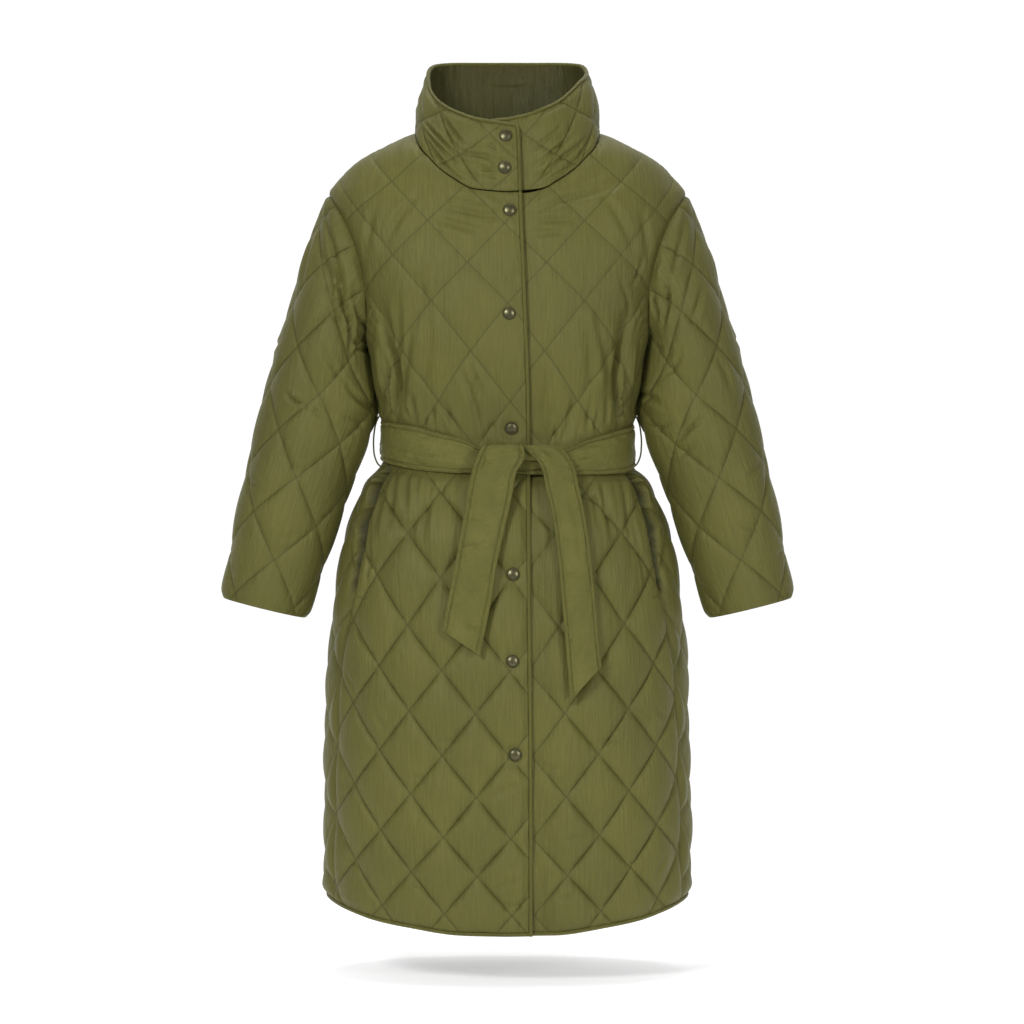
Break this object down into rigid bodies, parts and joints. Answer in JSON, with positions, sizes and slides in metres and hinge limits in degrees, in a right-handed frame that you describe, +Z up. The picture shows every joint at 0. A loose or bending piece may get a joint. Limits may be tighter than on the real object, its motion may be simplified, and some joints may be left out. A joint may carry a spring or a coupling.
{
  "type": "quilted coat",
  "caption": "Long diamond-quilted coat with a stand collar, lapped snap front, dropped sleeves, tied waist belt and curved hem, filled out as if worn and open inside.",
  "frame": {"origin": "the point between the wearer's shoulders, at the height of the side of the neck opening, midway between front and back", "axes": "+Z up, -Y towards the coat's front, +X towards the wearer's left"},
  "size_m": [0.7026, 0.3218, 1.0754],
  "materials": {
    "quilted_cloth": "satin",
    "binding": "satin",
    "belt_cloth": "satin",
    "thread": "matte",
    "snap_metal": "dull"
  },
  "bodies": {
    "root": {"back": "quilted_cloth", "front_left": "quilted_cloth", "front_right": "quilted_cloth", "sleeve_left": "quilted_cloth", "sleeve_right": "quilted_cloth", "collar": "quilted_cloth", "binding_collar": "binding", "binding_front_left": "binding", "binding_front_right": "binding", "binding_hem": "binding", "belt_band": "belt_cloth", "belt_knot": "belt_cloth", "belt_tail_left": "belt_cloth", "belt_tail_right": "belt_cloth", "belt_loop_left": "thread", "belt_loop_right": "thread", "snap_1": "snap_metal", "snap_2": "snap_metal", "snap_3": "snap_metal", "snap_4": "snap_metal", "snap_5": "snap_metal", "snap_6": "snap_metal", "snap_7": "snap_metal", "snap_8": "snap_metal"}
  },
  "joints": []
}
